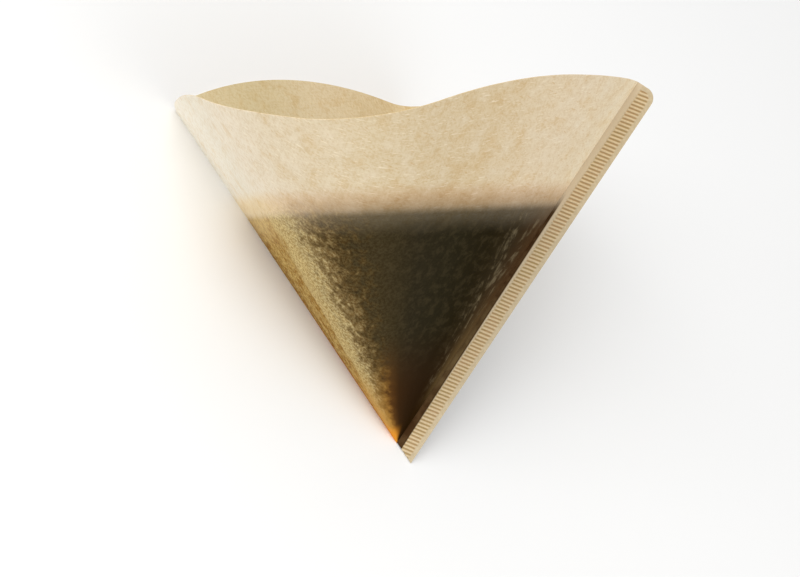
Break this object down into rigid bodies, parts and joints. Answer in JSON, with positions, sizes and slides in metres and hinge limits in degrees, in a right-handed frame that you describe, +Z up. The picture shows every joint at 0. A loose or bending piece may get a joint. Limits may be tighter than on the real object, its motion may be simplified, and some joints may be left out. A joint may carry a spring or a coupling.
{
  "type": "paper coffee filter",
  "caption": "Used cone coffee filter of unbleached paper, folded along one side and closed by a crimped seam flange along the other, lying open and stained by coffee.",
  "frame": {"origin": "on the floor that the filter lies on, under the middle of its box", "axes": "+Z up from the floor, +Y from the closed tip towards the open mouth, +X from the fold towards the seam"},
  "size_m": [0.1492, 0.1334, 0.1127],
  "materials": {
    "filter_paper": "soft matt crepe paper, dry at the mouth and stained dark brown below"
  },
  "bodies": {
    "root": {"paper_filter": "filter_paper"}
  },
  "joints": []
}
